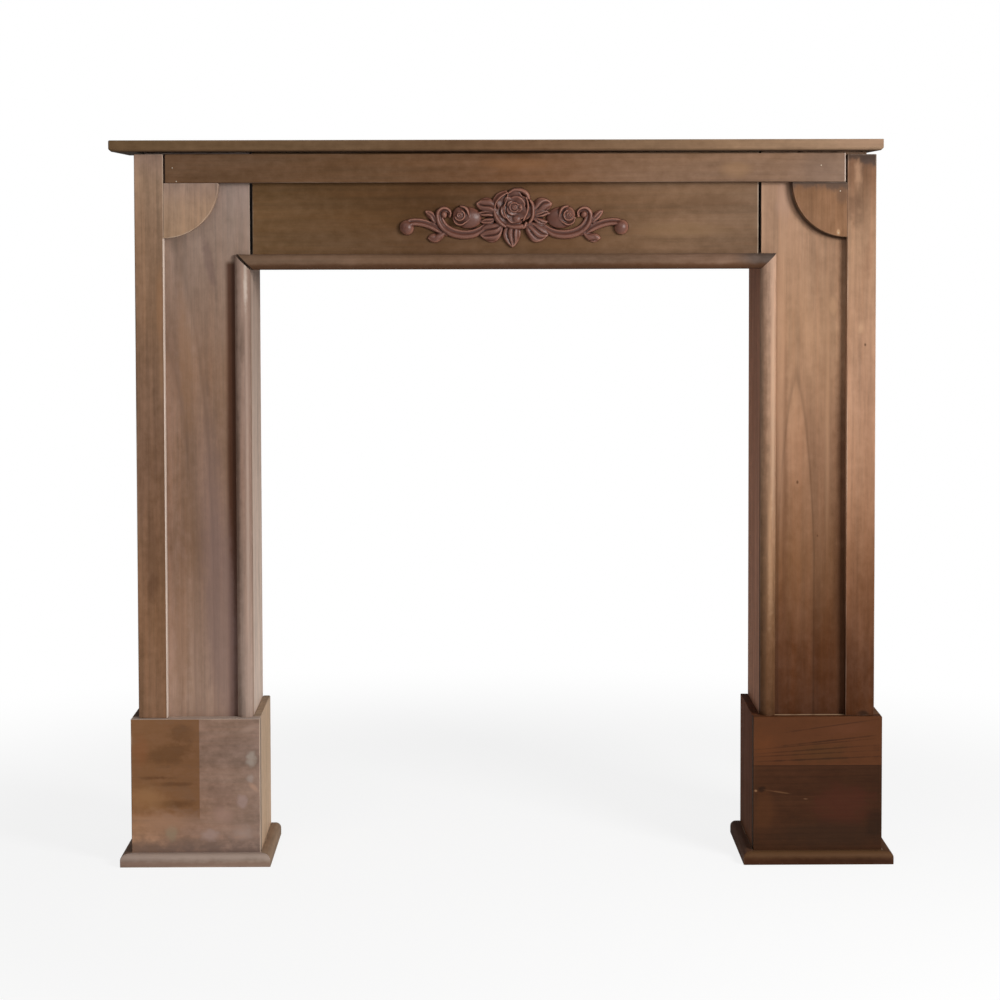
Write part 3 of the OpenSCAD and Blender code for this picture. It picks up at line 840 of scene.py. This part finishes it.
# The carved rose is drawn in millimetres from its heart, x to the right and y up. It is a
# relief: a fine grid is raised by each petal, leaf and scroll in turn, the highest wins.
carving = {
    "step": 0.5, "left": -165.0, "right": 163.0, "bottom": -60.0, "top": 28.0,
    "floor": -1.5, "cutHeight": 0.02,         # the bare ground, and where the back is cut
    "heart": 14.0,                            # how far the heart stands out
    "drawnWidth": 322.0, "highestPetal": 26.4,   # the outline's width, and its top above the heart
    "softening": 2, "hollowReach": 14,        # passes of fine paper: for shape, for shading
    "hollowDepth": 1.6,                       # how deep a full hollow is for the shading
    "toolMarks": 0.22, "toolSpacing": 0.28,   # how deep they are, and how close together
    "smoothAngle": 70.0,
}
columns = round((carving["right"] - carving["left"]) / carving["step"])
rows = round((carving["top"] - carving["bottom"]) / carving["step"])
gridX, gridY = np.meshgrid(
    carving["left"] + carving["step"] * np.arange(columns + 1),
    carving["bottom"] + carving["step"] * np.arange(rows + 1))
relief = np.full(gridX.shape, carving["floor"])

# cross-sections from the right of the direction of travel (-1) to its left (1)
sections = {
    "round": [(-1, 0), (-0.94, 0.34), (-0.8, 0.6), (-0.5, 0.87), (0, 1), (0.5, 0.87),
        (0.8, 0.6), (0.94, 0.34), (1, 0)],
    "gutter": [(-1, 0), (-0.92, 0.46), (-0.74, 0.8), (-0.48, 0.98), (-0.22, 0.96), (0.06, 0.72),
        (0.26, 0.54), (0.5, 0.62), (0.72, 0.68), (0.9, 0.46), (1, 0)],
    "ledge": [(-1, 0), (-0.95, 0.5), (-0.8, 0.92), (-0.6, 1), (-0.2, 0.82), (0.3, 0.62),
        (0.8, 0.5), (1, 0.44)],
}


def smoothRoute(stations, perSpan=10):
    # a Catmull-Rom curve through given stations of x, y, half width and height
    points = np.array([stations[0], *stations, stations[-1]], float)
    made = []
    for i in range(1, len(points) - 2):
        a, b, c, d = points[i - 1:i + 3]
        for t in np.arange(perSpan) / perSpan:
            made.append(0.5 * (2 * b + (c - a) * t + (2 * a - 5 * b + 4 * c - d) * t ** 2
                + (3 * b - a - 3 * c + d) * t ** 3))
    made.append(points[-2])
    return np.array(made)


def nearby(low, high, margin):
    # the part of the grid that a shape can reach
    x0, y0 = (int((low[i] - margin - start) / carving["step"])
        for i, start in enumerate((carving["left"], carving["bottom"])))
    x1, y1 = (int((high[i] + margin - start) / carving["step"]) + 2
        for i, start in enumerate((carving["left"], carving["bottom"])))
    return np.s_[max(y0, 0):max(y1, 0), max(x0, 0):max(x1, 0)]


def raiseTo(window, heights):
    relief[window] = np.maximum(relief[window], heights)


def strand(stations, section="round", mirrored=False, lift=0.0):
    # a petal edge, stem or scroll: a section carried along a route
    route = smoothRoute(stations)
    if mirrored:
        route = route * np.array([-1, 1, 1, 1])
    reach = route[:, 2].max() + 1.5
    window = nearby(route[:, :2].min(0), route[:, :2].max(0), reach)
    px, py = gridX[window], gridY[window]
    nearest = np.full(px.shape, 1e9)
    side, width, height = (np.zeros(px.shape) for _ in range(3))
    for a, b in zip(route[:-1], route[1:]):
        run = b[:2] - a[:2]
        size = run @ run
        if size < 1e-9:
            continue
        t = np.clip(((px - a[0]) * run[0] + (py - a[1]) * run[1]) / size, 0, 1)
        dx, dy = px - a[0] - t * run[0], py - a[1] - t * run[1]
        gap = np.hypot(dx, dy)
        closer = gap < nearest
        nearest = np.where(closer, gap, nearest)
        side = np.where(closer, np.sign(run[0] * dy - run[1] * dx), side)
        width = np.where(closer, a[2] + (b[2] - a[2]) * t, width)
        height = np.where(closer, a[3] + (b[3] - a[3]) * t, height)
    across = side * nearest / width
    if mirrored:
        across = -across
    table = np.array(sections[section])
    inside = np.interp(across, table[:, 0], table[:, 1]) * height + lift
    outside = -(nearest - width) * 4
    raiseTo(window, np.where(nearest < width, inside, np.maximum(outside, carving["floor"])))


def arcStations(centre, radius, start, end, width, height, steps=6, taper=0.45):
    # stations along an arc, thinner towards both ends
    made = []
    for i in range(steps + 1):
        angle = math.radians(start + (end - start) * i / steps)
        swell = taper + (1 - taper) * math.sin(math.pi * i / steps) ** 0.6
        made.append((centre[0] + radius * math.cos(angle), centre[1] + radius * math.sin(angle),
            width * swell, height))
    return made


def dome(centre, size, height, power=0.5, turn=0.0, mirrored=False, lift=0.0):
    # an egg-shaped swelling
    cx = -centre[0] if mirrored else centre[0]
    turn = -turn if mirrored else turn
    window = nearby((cx - max(size), centre[1] - max(size)),
        (cx + max(size), centre[1] + max(size)), 2)
    px, py = gridX[window] - cx, gridY[window] - centre[1]
    c, s = math.cos(math.radians(turn)), math.sin(math.radians(turn))
    u, v = (px * c + py * s) / size[0], (py * c - px * s) / size[1]
    radius = u * u + v * v
    inside = height * np.clip(1 - radius, 0, 1) ** power + lift
    outside = -(np.sqrt(radius) - 1) * min(size) * 4
    raiseTo(window, np.where(radius < 1, inside, np.maximum(outside, carving["floor"])))


def leaf(base, tip, width, height, flutes=3, bend=0.0, blunt=0.5, mirrored=False, lift=0.0,
        depth=0.45):
    # a leaf whose flutes fan out from its base; bend curves it to its left
    base, tip = np.array(base, float), np.array(tip, float)
    if mirrored:
        base, tip, bend = base * (-1, 1), tip * (-1, 1), -bend
    axis = tip - base
    length = np.hypot(*axis)
    axis = axis / length
    normal = np.array([-axis[1], axis[0]])
    window = nearby(np.minimum(base, tip) - width, np.maximum(base, tip) + width, 1)
    px, py = gridX[window] - base[0], gridY[window] - base[1]
    t = (px * axis[0] + py * axis[1]) / length
    inner = np.clip(t, 0, 1)
    offset = px * normal[0] + py * normal[1] - bend * 4 * inner * (1 - inner)
    # the outline: full in the belly, pointed or blunt at the tip
    outline = width * 0.625 * np.clip(inner + 0.06, 0, 1) ** 0.55
    outline = outline * (1 - inner ** (1 + 4 * blunt)) ** 0.75
    across = offset / np.maximum(outline, 0.05)
    crown = (1 - 0.45 * across ** 2) * (0.75 + 0.35 * np.sin(math.pi * inner ** 0.8))
    rib = ((across * 0.5 + 0.5) * flutes + 0.25 * np.sin(inner * 5 + length)) % 1
    groove = np.interp(rib, [0, 0.1, 0.3, 0.62, 0.9, 1], [0, 0.72, 1, 0.92, 0.5, 0])
    fade = np.clip(inner * 3.2, 0, 1) * np.clip((1.02 - inner) * 5, 0, 1)
    inside = height * crown * (1 - depth * (1 - groove) * fade) + lift
    edgeGap = np.minimum((1 - np.abs(across)) * outline, np.minimum(t, 1 - t) * length + 0.4)
    wall = np.clip(edgeGap / 1.1, 0, 1) ** 0.6
    inside = inside * wall
    hold = (np.abs(across) < 1) & (t > -0.02) & (t < 1)
    raiseTo(window, np.where(hold, inside, np.maximum(edgeGap * 3, carving["floor"])))


def carveFoliage(mirrored):
    # the U-shaped scroll with its volute, from the rose outwards
    strand([(36, -22, 4, 5), (46, -31, 5.4, 6), (58, -37, 6.4, 6.8), (72, -38.5, 6.8, 7.2),
        (86, -36, 7, 7.4), (98, -29.5, 7, 7.6), (105, -19.5, 6.8, 7.8),
        (106.4, -9.5, 5.8, 8.2), (102.6, -3.6, 4.8, 8.4), (96.4, -3, 4, 8.4),
        (91.4, -7, 3, 8), (91.6, -12.5, 2.2, 7)], "gutter", mirrored)
    dome((99.6, -9.8), (5.2, 5.6), 9.2, 0.5, mirrored=mirrored)
    # the outer scroll with its rolled knob
    strand([(95, -39, 2, 3.5), (104, -34, 4.6, 5.6), (115, -27.2, 5.8, 6.4),
        (127, -22.6, 6, 6.8), (138, -20.8, 5.8, 7.2), (147, -21.6, 6, 8.2),
        (152, -25, 7, 9)], "gutter", mirrored)
    dome((152.4, -28.4), (10.2, 11), 10.8, 0.45, turn=-20, mirrored=mirrored)
    leaf((111, -22.5), (126.5, -4.5), 15, 6, 2, bend=2, blunt=0.3, mirrored=mirrored)
    leaf((98, -36), (123, -44), 15, 6.4, 1, bend=-3, blunt=0.8, mirrored=mirrored)
    dome((115.5, -42.2), (7.4, 5.2), 6.6, 0.5, turn=-14, mirrored=mirrored)
    # upper leaves: a fan with a narrower one beneath
    leaf((25, -8), (54, 6), 27, 8.4, 2, bend=4, blunt=0.45, mirrored=mirrored, depth=0.5)
    leaf((27, -12), (52, -8), 14, 7.8, 2, bend=1, blunt=0.3, mirrored=mirrored, depth=0.6)
    leaf((26, -15), (48, -21), 14, 6.8, 2, bend=-2, blunt=0.4, mirrored=mirrored)
    # lower side leaf
    leaf((17, -24), (48.5, -40), 34, 8.2, 3, bend=-4, blunt=0.5, mirrored=mirrored, depth=0.5)


def carveBud(mirrored):
    # the bud: an egg with its petals furled round a spiral
    dome((66, -14.8), (20.5, 15.6), 9.6, 0.5, turn=4, mirrored=mirrored)
    dome((77.0, -11.4), (10.4, 13), 12.4, 0.42, turn=10, mirrored=mirrored)
    strand([(76, 1.6, 1.6, 11.2), (69.5, -0.8, 2.8, 12.2), (65.6, -6.4, 3.2, 12.4),
        (63.6, -14, 2.0, 10.6)], "round", mirrored)
    strand([(63.0, -15.4, 1.4, 10.2), (69, -19.6, 2.6, 12), (76, -23.4, 2.8, 12.2),
        (82.4, -21.6, 2.4, 11.6), (86, -15.4, 1.6, 10.4)], "ledge", mirrored)
    strand(arcStations((77.4, -11.2), 7.0, 110, 340, 2.2, 14.0, 8, 0.5), "round", mirrored)
    strand(arcStations((77.6, -11.2), 3.0, -60, 190, 1.4, 14.4, 6, 0.6), "round", mirrored)
    dome((78.0, -11.4), (1.4, 1.6), 14.6, 0.5, mirrored=mirrored)


def petal(angle, reach, breadth, low, high, centre=(0, -1.5), rim=1.3):
    # a petal that climbs from the rose's heart to its own rim and rounds over there
    window = nearby((-reach - 4, -reach - 4), (reach + 4, reach + 4), 1)
    px, py = gridX[window] - centre[0], gridY[window] - centre[1]
    c, s = math.cos(math.radians(angle)), math.sin(math.radians(angle))
    u, v = px * c + py * s, py * c - px * s
    half = reach * 0.62
    radius = np.hypot((u - (reach - half)) / half, v / (breadth / 2))
    wave = 0.35 * np.sin(v * 0.55 + angle)
    climb = low + (high - low) * np.clip(u / reach, 0, 1) ** 1.5 + wave
    gap = (1 - radius) * min(half, breadth / 2)
    inside = climb * np.clip(gap / rim, 0, 1) ** 0.4
    raiseTo(window, np.where(gap > 0, inside, np.maximum(gap * 3, carving["floor"])))


def carveRose():
    heart = carving["heart"]
    dome((0, -3), (23, 22), heart * 0.3, 0.4)
    # outer petals: angle, reach, breadth, height at the heart and at the rim
    for shape in ((215, 30, 32, 3.4, 8.2), (148, 28, 30, 3.6, 8.4), (344, 27, 30, 3.4, 8),
            (270, 26, 30, 4, 8.4), (82, 25.5, 25, 4, 9.2), (40, 24.5, 19, 4.4, 9.4)):
        petal(*shape)
    # their folded rims: upper left, lower left, top and the tall one on the right
    strand([(-28.6, -1, 2.2, 8.2), (-27.4, 8, 3.8, 9.8), (-21, 16.4, 4.6, 10.6),
        (-12, 21, 3.2, 10)], "ledge")
    strand([(-28.4, -3.4, 2.4, 8.4), (-26.6, -12, 4.2, 10), (-20.4, -21.4, 4.8, 10.6),
        (-12.6, -27, 3, 9.4)], "round")
    strand([(-7.4, 20.4, 2.2, 9.6), (0, 24.4, 3.4, 10.8), (9, 24, 3.8, 11), (17, 19.6, 4, 10.8),
        (20.4, 13, 3, 9.6)], "round")
    strand([(22.6, 9.6, 2.2, 8.6), (26.2, 3.6, 3.4, 10.2), (27, -6, 3.8, 10.8),
        (25.8, -15, 3.6, 10.2), (21.6, -22, 2.4, 8.8)], "round")
    strand([(-11, -25.4, 3.0, 9.4), (-4, -27.4, 4.4, 10.6), (4, -27.6, 4.6, 11),
        (11.4, -27, 4.2, 10.6)], "round")
    strand([(12.4, -28.6, 3, 10), (15.4, -26.4, 3.4, 11), (16.8, -22.4, 2.4, 10.2)], "round")
    # middle petals
    for shape in ((262, 23, 22, 6.6, 10.6), (206, 21, 26, 6.4, 11.6), (326, 20.5, 25, 6.4, 11.8),
            (128, 21, 17, 6.8, 11.4), (58, 19, 27, 6.8, 12.2)):
        petal(*shape)
    dome((3.4, -16.6), (8, 7.4), 11.2, 0.35)
    # an upright fold on either side of the bud
    strand([(-8.4, 19, 1.6, 11.2), (-9.4, 10, 2, 12.4), (-13.6, -1, 2.2, 12.8),
        (-10.6, -12.6, 2.2, 12.6), (-3.6, -20.6, 1.6, 11.4)], "ledge")
    strand([(17, 13.6, 1.6, 11.2), (19.6, 4, 2.2, 12.2), (18.4, -7, 2.4, 12.2),
        (13, -18.6, 1.8, 11.2)], "round")
    # inner petals round the bud
    for shape in ((234, 13, 18, 9.4, 13.0), (352, 12.4, 15, 9.4, 12.8), (140, 12, 14, 9.4, 12.9)):
        petal(*shape, centre=(0, 0), rim=1.0)
    dome((0, 0), (8, 7.8), heart * 0.9, 0.35)
    strand(arcStations((0, 0), 6.4, 30, 330, 1.7, heart * 0.98, 10, 0.6), "round")
    strand(arcStations((0.2, 0), 3.1, 190, 450, 1.3, heart, 8, 0.6), "round")
    dome((0.2, 0), (1.5, 1.4), heart, 0.5)
    leaf((5.4, 1.2), (12.2, -1.4), 6, 12.8, 1, blunt=0.3)


for mirrored in (False, True):
    carveFoliage(mirrored)
    carveBud(mirrored)
leaf((-0.5, -20), (-2.6, -57), 38, 8, 3, bend=-2.0, blunt=0.15, depth=0.5)
carveRose()


def softened(field, passes):
    # a light rub with fine paper: each point moves to the mean of its neighbours
    for _ in range(passes):
        wide = np.pad(field, 1, mode="edge")
        field = (wide[1:-1, 1:-1] * 4 + (wide[:-2, 1:-1] + wide[2:, 1:-1] + wide[1:-1, :-2]
            + wide[1:-1, 2:]) * 2 + wide[:-2, :-2] + wide[:-2, 2:] + wide[2:, :-2]
            + wide[2:, 2:]) / 16
    return field


relief = softened(relief, carving["softening"])
raised = (relief - softened(relief, carving["hollowReach"])) / carving["hollowDepth"]
crests = np.clip(raised, -1, 1) * 0.5 + 0.5       # 0 in the hollows, 1 on the high edges
# shallow tool marks, worked out on every fourth point
often = carving["toolSpacing"]
tool = np.array([[noise.noise(Vector((x * often, y * often, 3.0))) for x in gridX[0, ::4]]
    for y in gridY[::4, 0]])
tool = np.kron(tool, np.ones((4, 4)))[:gridX.shape[0], :gridX.shape[1]]
relief = relief + softened(tool, 6) * carving["toolMarks"] * (relief > 0.6)

roseLow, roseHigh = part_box("carved_rose")
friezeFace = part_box("frieze")[0].y
# the rose's heart, from the carving's ends and its highest petal
perDrawn = (roseHigh.x - roseLow.x) / carving["drawnWidth"]
heartX = (roseLow.x + roseHigh.x) / 2
heartZ = roseHigh.z - carving["highestPetal"] * perDrawn

bm = bmesh.new()
bmesh.ops.create_grid(bm, x_segments=columns, y_segments=rows, size=0.5)
bm.verts.ensure_lookup_table()
crestLayer = bm.verts.layers.float.new("crest")
for vertex in bm.verts:
    column = round((vertex.co.x + 0.5) * columns)
    row = round((vertex.co.y + 0.5) * rows)
    vertex.co = (gridX[row, column], gridY[row, column], relief[row, column])
    vertex[crestLayer] = crests[row, column]
cutAt(bm, (0, 0, carving["cutHeight"]), (0, 0, -1), 1e-4)
rim = [edge for edge in bm.edges if edge.is_boundary]
bmesh.ops.triangle_fill(bm, edges=rim, use_beauty=True, normal=(0, 0, -1))
# stand it up on the frieze: x stays, y becomes height, height comes towards the room
turned = Matrix(((1, 0, 0), (0, 0, -1), (0, 1, 0))) * perDrawn
bmesh.ops.transform(bm, matrix=turned.to_4x4(), verts=bm.verts)
bmesh.ops.translate(bm, vec=(heartX, friezeFace, heartZ), verts=bm.verts)
bmesh.ops.recalc_face_normals(bm, faces=bm.faces)


carvedLook = {
    # darker in the hollows, paler on the high edges: dirt and painted shade in the hollows, rubbing and
    # painted highlight on the crests
    "tones": [(0.08, (34, 19, 14)), (0.38, (78, 44, 33)), (0.56, (99, 60, 47)),
        (0.88, (152, 106, 89))],
    "warm": (140, 88, 66), "warmAmount": 0.35, "rough": 0.44, "shine": 0.5,
}


def carvedWood(name, look):
    material, tree, shader = newMaterial(name)
    places = positionWires(tree)[0]
    crest = places.node("ShaderNodeAttribute", {"attribute_name": "crest"}, out=2)
    cloud = places.node("ShaderNodeTexNoise", sockets={
        "Vector": places, "Scale": 60.0, "Detail": 4.0}) - 0.5
    grit = places.node("ShaderNodeTexNoise", sockets={
        "Vector": places, "Scale": 900.0, "Detail": 3.0}) - 0.5
    # dirt and painted shade in the hollows, rubbing and painted highlight on the crests
    hollowShadeAndDirt = crest + cloud * 0.14 + grit * 0.05
    colour = hollowShadeAndDirt.ramp([(place, paint(*tone)) for place, tone in look["tones"]])
    colour = colour.tint(paint(*look["warm"]),
        (cloud * 1.6 + 0.2).clamped() * look["warmAmount"], "SOFT_LIGHT")
    feed(tree, colour, shader.inputs["Base Color"])
    gloss = look["rough"] + cloud * 0.15 + grit * 0.1
    feed(tree, gloss.clamped(), shader.inputs["Roughness"])
    shader.inputs["Specular IOR Level"].default_value = look["shine"]
    height = grit * 0.6 + cloud
    bump = height.node("ShaderNodeBump", sockets={
        "Strength": 0.35, "Distance": 0.0004, "Height": height})
    feed(tree, bump, shader.inputs["Normal"])
    return material


placePiece("carved_rose_relief", bm, carvedWood("carving stain and painted shade", carvedLook),
    ["carved_rose"], carving["smoothAngle"])
print("carved rose done")

# heads of the pins that hold the face frame, at the ends of the rail and in the bracket
brads = {"radius": 0.9 * mm, "proud": 0.25 * mm,
    "dull": (140, 122, 102), "bright": (200, 186, 166), "metal": 0.3,
    "places": [(-0.4668, 0.9935), (-0.4613, 0.9745), (0.4505, 0.9955), (0.4778, 0.9590),
        (0.4752, 0.8995)]}
bm = bmesh.new()
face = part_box("top_rail")[0].y
for x, z in brads["places"]:
    made = bmesh.ops.create_uvsphere(bm, u_segments=14, v_segments=8, radius=brads["radius"])
    bmesh.ops.scale(bm, vec=(1, brads["proud"] / brads["radius"], 1), verts=made["verts"])
    bmesh.ops.translate(bm, vec=(x, face, z), verts=made["verts"])
pinMaterial, pinTree, pinShader = newMaterial("brad heads")
pinPlaces = positionWires(pinTree)[0]
pinSpeckle = pinPlaces.node("ShaderNodeTexNoise", sockets={
    "Vector": pinPlaces, "Scale": 1500.0, "Detail": 2.0})
pinColour = pinSpeckle.ramp([(0.3, paint(*brads["dull"])), (0.7, paint(*brads["bright"]))])
feed(pinTree, pinColour, pinShader.inputs["Base Color"])
feed(pinTree, pinSpeckle * 0.3 + 0.3, pinShader.inputs["Roughness"])
pinShader.inputs["Metallic"].default_value = brads["metal"]
placePiece("brad_heads", bm, pinMaterial, [])
print("brads done")

# floor, light and camera
studio = {
    "ambient": 0.20,
    "windowAt": (1.55, -1.75, 1.30), "windowPower": 46.0, "windowSize": 0.7,
    "ceilingAt": (-0.9, -3.0, 2.9), "ceilingPower": 24.0, "ceilingSize": 2.6,
    "floorWhite": 0.84, "floorFade": (0.7, 1.6), "floorSize": 30.0,
    "aimedAt": (0, 0, 0.55),
}
floorMesh = bpy.data.meshes.new("floor")
bm = bmesh.new()
bmesh.ops.create_grid(bm, x_segments=1, y_segments=1, size=studio["floorSize"])
bm.to_mesh(floorMesh)
bm.free()
floor = bpy.data.objects.new("floor", floorMesh)
bpy.context.scene.collection.objects.link(floor)
floorMaterial, floorTree, floorShader = newMaterial("pale floor")
floorShader.inputs["Base Color"].default_value = (*stageColour, 1)
floorShader.inputs["Roughness"].default_value = 0.9
floorShader.inputs["Specular IOR Level"].default_value = 0.0


def seenDirectly(tree):
    # 1 for what the camera looks at
    return Wire(tree, tree.nodes.new("ShaderNodeLightPath").outputs["Is Camera Ray"])


seen = seenDirectly(floorTree)
glow = seen.node("ShaderNodeEmission", sockets={"Color": (1, 1, 1, 1), "Strength": 1.0})
floorOut = floorTree.nodes["Material Output"]
floorAt = positionWires(floorTree)[1]
# the shadow shows near the feet, and the floor turns plain white further out
away = (floorAt["x"] * floorAt["x"] + floorAt["y"] * floorAt["y"]) ** 0.5
fade = away.fall(studio["floorFade"][1], studio["floorFade"][0])
glowing = seen * (fade * (1 - studio["floorWhite"]) + studio["floorWhite"])
mixed = seen.node("ShaderNodeMixShader", sockets={
    0: glowing, 1: Wire(floorTree, floorShader.outputs[0]), 2: glow})
feed(floorTree, mixed, floorOut.inputs["Surface"])
floorMesh.materials.append(floorMaterial)

world = bpy.data.worlds.new("studio")
bpy.context.scene.world = world
world.use_nodes = True
worldTree = world.node_tree
background = worldTree.nodes["Background"]
background.inputs["Color"].default_value = (1, 1, 1, 1)
skySeen = seenDirectly(worldTree)
skyStrength = skySeen * (1 - studio["ambient"]) + studio["ambient"]
feed(worldTree, skyStrength, background.inputs["Strength"])


def areaLight(name, place, target, power, size):
    lamp = bpy.data.lights.new(name, "AREA")
    lamp.energy, lamp.size = power, size
    light = bpy.data.objects.new(name, lamp)
    light.location = place
    light.rotation_euler = (Vector(target) - Vector(place)).to_track_quat("-Z", "Y").to_euler()
    bpy.context.scene.collection.objects.link(light)


for lamp in ("window", "ceiling"):
    areaLight(lamp, studio[lamp + "At"], studio["aimedAt"], studio[lamp + "Power"],
        studio[lamp + "Size"])

view = {
    "at": (-0.0322, -3.678, 0.910), "turn": -0.0078, "down": 0.0486, "roll": 0.0023,
    "lens": 91.5, "sensor": 36.0, "shift": -0.15,
}
camera = bpy.data.objects.new("camera", bpy.data.cameras.new("camera"))
bpy.context.scene.collection.objects.link(camera)
camera.data.sensor_width, camera.data.lens = view["sensor"], view["lens"]
camera.data.shift_y = view["shift"]
camera.location = view["at"]
camera.rotation_euler = (math.pi / 2 - view["down"], view["roll"], view["turn"])
bpy.context.scene.camera = camera
bpy.context.scene.view_settings.view_transform = "Standard"

print("scene done")
